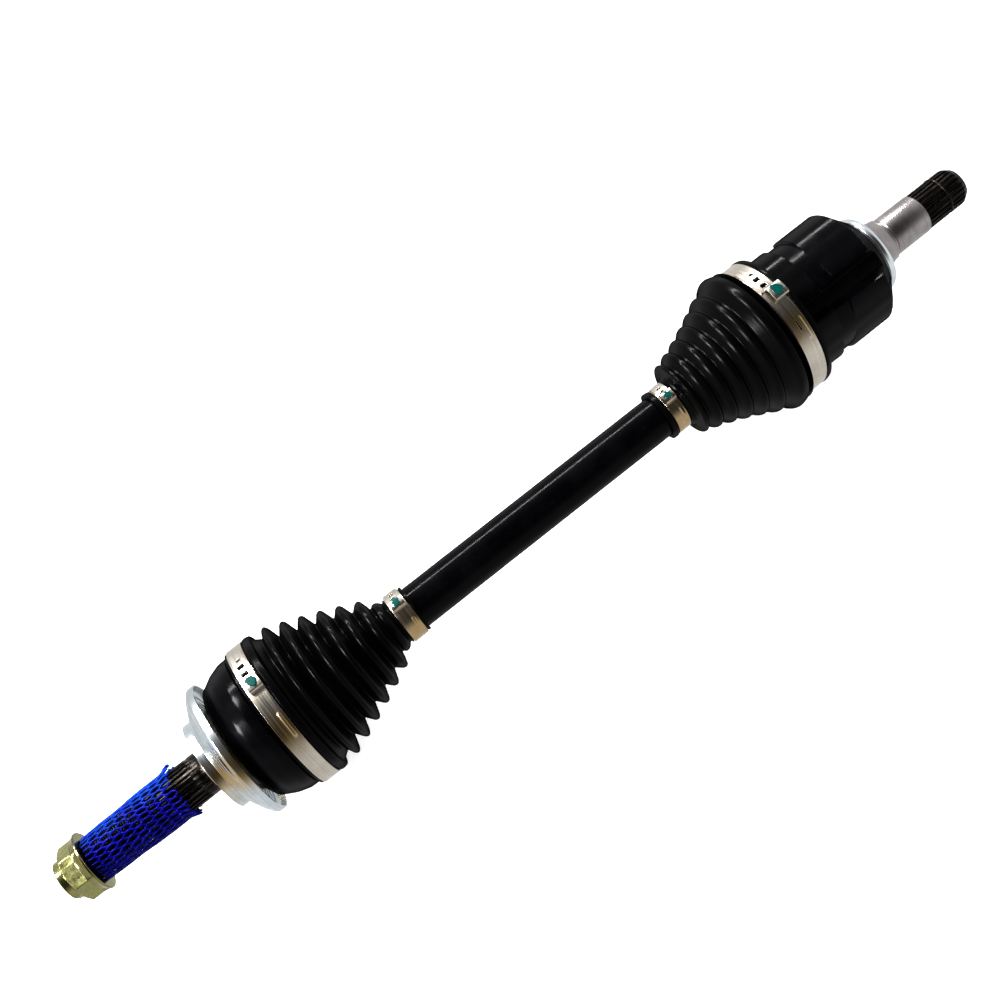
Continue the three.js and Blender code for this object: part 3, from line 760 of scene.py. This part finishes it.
def clamp(node, body, ear, rib, overhang=0.0, cut=None):
    """A boot clamp: a band with a pressed rib, a slotted lap strip, and a pinched ear dabbed with paint."""
    x0, x1 = band_ends(node)
    inner, _ = radii(node)
    width = x1 - x0
    ear = radians(ear)
    big = inner > 30
    rib_low, rib_high = (radians(a) for a in rib)

    def emboss(arc, offset):
        """A thin pressed bead along the band, near its gearbox-side edge."""
        share = turn_difference(arc / inner, rib_low) / turn_difference(rib_high, rib_low)
        ends = smoothstep(0.0, 0.12, share) * (1 - smoothstep(0.88, 1.0, share))
        return 0.5 * ends * (1 - smoothstep(0.0, 0.1, abs(offset / width - 0.24)))

    ear_half, lap, height = (4.6, 24.0, 3.0) if big else (3.3, 11.0, 2.6)
    radius = inner + 0.85
    slots = [(3.6, 2.5, 0.0, 3.8), (9.6, 2.5, 0.0, 3.8), (15.2, 2.0, 0.4, 2.4)]
    if not big:
        slots = [(1.9, 1.5, 0.0, 2.8), (5.4, 1.3, 0.0, 2.8)]
    first = ear + (ear_half - 0.3) / radius
    through = [((first + arc / radius) * inner, *size) for arc, *size in slots]
    if cut:
        start, end = (radians(a) for a in cut)
        through.append(((start + end) / 2 % TAU * inner, (start - end) * inner, 0.0, 0.9))
    band = strip(f"{node}_band", node, body, inner, 0, TAU, int(TAU * inner / 0.4),
                 holes=through, lift=emboss)
    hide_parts(node)

    def hump(arc, offset):
        s = arc - ear_half
        rise = smoothstep(-ear_half, -ear_half + 0.9, s) * (1 - smoothstep(ear_half - 0.9, ear_half, s))
        crown = 0.35 * (1 - smoothstep(0.3, 0.9, abs(s) / ear_half))
        boss = 0.3 * (1 - smoothstep(width * 0.21, width * 0.26, hypot(s, offset)))
        return height * rise + crown + boss

    strip(f"{node}_ear", node, body, radius, ear - ear_half / radius, ear + ear_half / radius,
          int(2 * ear_half / 0.25), lift=hump, shift=overhang, share=0.86)
    strip(f"{node}_lap", node, body, radius, first, ear + (ear_half + lap) / radius,
          int(lap / 0.3), holes=slots, share=0.88)
    dab_size = width * (0.3 if big else 0.26)
    paint_dab(f"{node}_dab", body, (x0 + x1) / 2 + overhang, radius + height + 1.46, ear, dab_size)


# ---------------------------------------------------------------- shaft and gearbox-end joint
def shaft_bar():
    outline = outer_outline("axle_shaft")
    ends = [(outline[0][0], 0.0), *outline, (outline[-1][0], 0.0)]
    place(revolve("shaft_bar", filleted(ends, 0.8, 3), [BLACK], 128), "shaft", "black_paint", "axle_shaft")


ROLLER_PITCH = 22.3  # from the axis to the middle of a roller's track
ROLLER_TRACK = 17


def tulip():
    """The tripod housing: three wide lobes, narrow valleys, a turned relief and a coned back."""
    mouth, _ = span("tripod_housing")
    lobe, relief = 38.0, 36.2
    shoulder, back, back_radius = 239.0, 250.5, 24.5
    relief_low, relief_high = 202.5, 213.2
    cavity_end = 241
    ramps = [edge + step for edge in (relief_low, relief_high) for step in (-0.5, -0.25, 0.0, 0.25, 0.5)]
    stations = sorted([mouth, mouth + 0.8, *np.linspace(mouth + 2, relief_low - 1, 14), *ramps,
                       *np.linspace(relief_low + 1.2, relief_high - 1.2, 5),
                       *np.linspace(relief_high + 1.2, shoulder - 1, 12),
                       *np.linspace(shoulder - 0.4, back - 1.5, 16), back - 1.3, back - 1.1, back])

    def outer_radius(x, angle):
        """The valleys narrow towards the mouth, and their floor meets the back cone."""
        r = lobed(angle, lobe, 0.62 + 0.38 * smoothstep(relief_low - 0.5, relief_low + 0.5, x))
        groove = smoothstep(relief_low - 0.4, relief_low + 0.4, x)
        groove *= 1 - smoothstep(relief_high - 0.4, relief_high + 0.4, x)
        r = min(r, lobe - (lobe - relief) * groove)
        cone = lobe - (x - shoulder) * (lobe - back_radius) / (back - shoulder)
        edge = 0.6 * smoothstep(mouth + 0.8, mouth, x)
        return min(r, cone) - edge

    def cavity_radius(x, angle):
        """Three roller tracks around a tapered core."""
        core = 30.3 - 10.3 * smoothstep(mouth, 201, x)
        off = min(abs(turn_difference(angle, a)) for a in LOBE_ANGLES)
        under = (ROLLER_PITCH * cos(off)) ** 2 - ROLLER_PITCH ** 2 + ROLLER_TRACK ** 2
        track = ROLLER_PITCH * cos(off) + sqrt(under) if under > 0 and off < pi / 2 else 0
        limit = 33.2 - 7.2 * smoothstep(234, cavity_end, x)
        return min(max(core, track), limit)

    def profile(angle):
        outside = [(x, outer_radius(x, angle)) for x in stations]
        inside = [(x, cavity_radius(x, angle)) for x in np.linspace(cavity_end, mouth + 0.01, 24)]
        return [(float(cavity_end), 0.0)] + inside + outside + [(back, 0.0)]

    def pick(x, y, z):
        return 1 if x > back - 1.15 and hypot(y, z) > 16 else 0

    housing = revolve("tripod_housing_body", profile, [BLACK, GROUND_STEEL], 360, pick=pick, sharp=30)
    place(housing, "inner_joint", "black_paint", "tripod_housing")


STUB_STEP = 294.2  # where the ground journal ends and the splined tip goes on


def gearbox_stub():
    """Ground seal journal and collar."""
    journal = 12.65
    outline = filleted([
        (248, 0.0), (248, 16.8), (259, 16.8), (259.2, 16.3), (262, 15.0), (266, 13.9), (267.4, 13.9),
        (267.6, 12.0), (268.9, 12.0), (269.3, journal), (293.6, journal), (STUB_STEP, 11.6),
        (STUB_STEP, 0.0),
    ], 0.3, 3)
    place(revolve("gearbox_stub_journal", outline, [GROUND_STEEL], 144), "inner_joint", "black_paint")


def gearbox_spline():
    """The splined tip that drives the side gear, cut by the circlip's groove."""
    _, tip_end = span("tripod_housing")
    clip0, clip1 = span("stub_circlip")
    teeth, root, tip, groove = 24, 11.1, 12.15, 10.4
    start = 293.4
    stations = [start, STUB_STEP, 295.4, *np.linspace(300, clip0 - 0.8, 6), clip0 - 0.3, clip0 - 0.25,
                clip1 + 0.25, clip1 + 0.3, *np.linspace(clip1 + 1, 320, 5), 321.2, 322.4,
                tip_end - 0.5, tip_end]

    def profile(angle):
        points = [(start, 0.0)]
        for x in stations:
            toothed = spline_radius(angle, root, tip, teeth)
            cut = clip0 - 0.28 < x < clip1 + 0.28
            chamfer = tip - 2.6 * smoothstep(320.5, tip_end + 0.6, x)
            points.append((x, groove if cut else min(toothed, chamfer)))
        return points + [(tip_end, 0.0)]

    spline = revolve("gearbox_spline", profile, [SPLINE_STEEL], teeth * 14, sharp=30)
    place(spline, "inner_joint", "black_paint")


def seal_shield():
    x0, x1 = span("seal_shield")
    inner, outer = radii("seal_shield")
    ring = filleted([
        (x0, inner), (x0, outer - 0.6), (x0 + 1.0, outer - 0.1), (x0 + 2.5, outer), (x0 + 4.2, outer - 1.0),
        (x0 + 5.2, outer - 3.0), (x0 + 7.0, outer - 5.6), (x1, outer - 7.2), (x1, inner),
    ], 0.6, 4, closed=True)
    shield = revolve("seal_shield_ring", ring, [SEAL_ZINC], 160, closed=True)
    place(shield, "inner_joint", "bright_zinc", "seal_shield")


def circlip():
    """An open round-wire ring in the spline's groove."""
    x0, x1 = span("stub_circlip")
    middle, wire, ring = (x0 + x1) / 2, 0.75, 11.75
    columns, sides, gap = 120, 12, radians(24)
    vertices, faces = [], []
    for c in range(columns + 1):
        angle = radians(-90) + gap + (TAU - 2 * gap) * c / columns
        for s in range(sides):
            t = TAU * s / sides
            r = ring + wire * cos(t)
            vertices.append((middle + wire * sin(t), r * sin(angle), r * cos(angle)))
    for c in range(columns):
        for s in range(sides):
            a, b = c * sides + s, c * sides + (s + 1) % sides
            faces.append((a, b, b + sides, a + sides))
    faces += [tuple(range(sides)), tuple(range(columns * sides, (columns + 1) * sides))]
    clip = add_piece("stub_circlip_wire", vertices, faces, [SPLINE_STEEL])
    place(clip, "inner_joint", "hard_steel", "stub_circlip")


# ---------------------------------------------------------------- inside pieces that stay as packed
def finish_inside():
    finishes = {"ball_cage": CAGE_STEEL, "inner_race": NECK_STEEL, "tripod_spider": NECK_STEEL}
    for name, node in NODES.items():
        if node.hide_render:
            continue
        node.data.materials.clear()
        node.data.materials.append(finishes.get(name, POLISHED))


# ---------------------------------------------------------------- studio
DIFFUSE_SKY = 0.62
SHINE_LOW, SHINE_TOP = 0.9, 0.06
FLOOR_LIFT = 0.35  # keeps the paper pale to the eye out to the horizon, and lights nothing


def floor():
    """A sheet of pale paper that the axle lies on."""
    low = cad_bounds[0][2]
    mesh = bpy.data.meshes.new("studio_floor")
    size = 12.0
    corners = [(-size, -size, low), (size, -size, low), (size, size, low), (-size, size, low)]
    mesh.from_pydata(corners, [], [(0, 1, 2, 3)])
    paper = Paint("floor_paper", Base_Color=(0.9, 0.9, 0.9, 1), Roughness=0.9)
    seen = paper.node("ShaderNodeLightPath").outputs["Is Camera Ray"]
    paper.set(Emission_Color=(1, 1, 1, 1), Emission_Strength=paper.maths("MULTIPLY", seen, FLOOR_LIFT))
    mesh.materials.append(paper.bumps((paper.noise(400, 2), 0.02, 0.05)))
    plane = bpy.data.objects.new("studio_floor", mesh)
    bpy.context.scene.collection.objects.link(plane)
    plane.visible_glossy = False


def softbox(name, at, target, size, power, tint=(1, 1, 1)):
    light = bpy.data.lights.new(name, "AREA")
    light.shape = "RECTANGLE"
    light.size, light.size_y = size
    light.energy = power
    light.color = tint
    lamp = bpy.data.objects.new(name, light)
    lamp.location = at
    lamp.rotation_euler = (Vector(target) - Vector(at)).to_track_quat("-Z", "Y").to_euler()
    bpy.context.scene.collection.objects.link(lamp)
    return lamp


def studio_world(scene):
    """White all round for diffuse light, and plain white to the eye.

    Shiny surfaces see pale paper low down and a dark studio above.
    """
    scene.world = bpy.data.worlds.new("studio")
    scene.world.use_nodes = True
    nodes, link = scene.world.node_tree.nodes, scene.world.node_tree.links.new
    background = nodes["Background"]
    background.inputs[0].default_value = (1, 1, 1, 1)
    split = nodes.new("ShaderNodeSeparateXYZ")
    link(nodes.new("ShaderNodeTexCoord").outputs["Generated"], split.inputs[0])
    sky = nodes.new("ShaderNodeMapRange")
    for key, value in ((1, 0.5), (2, 0.88), (3, SHINE_LOW), (4, SHINE_TOP)):
        sky.inputs[key].default_value = value
    link(split.outputs["Z"], sky.inputs[0])
    ray = nodes.new("ShaderNodeLightPath")
    pick = nodes.new("ShaderNodeMix")
    link(ray.outputs["Is Glossy Ray"], pick.inputs[0])
    pick.inputs[2].default_value = DIFFUSE_SKY
    link(sky.outputs[0], pick.inputs[3])
    seen = nodes.new("ShaderNodeMix")
    link(ray.outputs["Is Camera Ray"], seen.inputs[0])
    link(pick.outputs[0], seen.inputs[2])
    seen.inputs[3].default_value = 1.0
    link(seen.outputs[0], background.inputs[1])


def studio_light():
    scene = bpy.context.scene
    studio_world(scene)
    softbox("bell_side", (-1.21, 0.39, 0.72), (-0.18, 0, 0), (0.3, 0.3), 22)
    softbox("rear_left", (-0.61, 0.99, 0.57), (0, 0, 0), (0.3, 0.3), 20)
    softbox("low_strip", (0.1, 1.4, 0.25), (0.05, 0, 0), (1.7, 0.06), 34)
    top = softbox("overhead", (0.1, 0.1, 1.6), (0, 0, 0), (1.0, 1.0), 12)
    top.visible_glossy = False
    scene.view_settings.view_transform = "Standard"
    scene.view_settings.gamma = 0.86


def camera():
    """Looks down on the axle, which lies across the picture from lower left to upper right."""
    tilt, roll = radians(6.2), radians(38.0)
    data = bpy.data.cameras.new("camera")
    data.sensor_width = 36
    data.lens = 46.8
    along = Vector((cos(tilt), 0, sin(tilt)))
    across = Vector((0, 1, 0))
    right = along * cos(roll) - across * sin(roll)
    up = along * sin(roll) + across * cos(roll)
    back = right.cross(up)
    pose = Matrix((right, up, back)).transposed().to_4x4()
    pose.translation = Vector((-0.089, 0.0185, 0.739))
    eye = bpy.data.objects.new("camera", data)
    eye.matrix_world = pose
    bpy.context.scene.collection.objects.link(eye)
    bpy.context.scene.camera = eye


# ---------------------------------------------------------------- assembly
joint_bell()
wheel_stub()
dust_shield()
hub_nut()
thread_net()
outer_boot()
clamp("outer_boot_large_clamp", "outer_joint", ear=29, rib=(-18, 4), overhang=1.2)
clamp("outer_boot_small_clamp", "shaft", ear=31, rib=(-30, -10))
shaft_bar()
clamp("inner_boot_small_clamp", "shaft", ear=22, rib=(-30, -10))
inner_boot()
clamp("inner_boot_large_clamp", "inner_joint", ear=20, rib=(-24, -3), overhang=2.4, cut=(-5, -14))
tulip()
gearbox_stub()
gearbox_spline()
seal_shield()
circlip()
finish_inside()
floor()
studio_light()
camera()
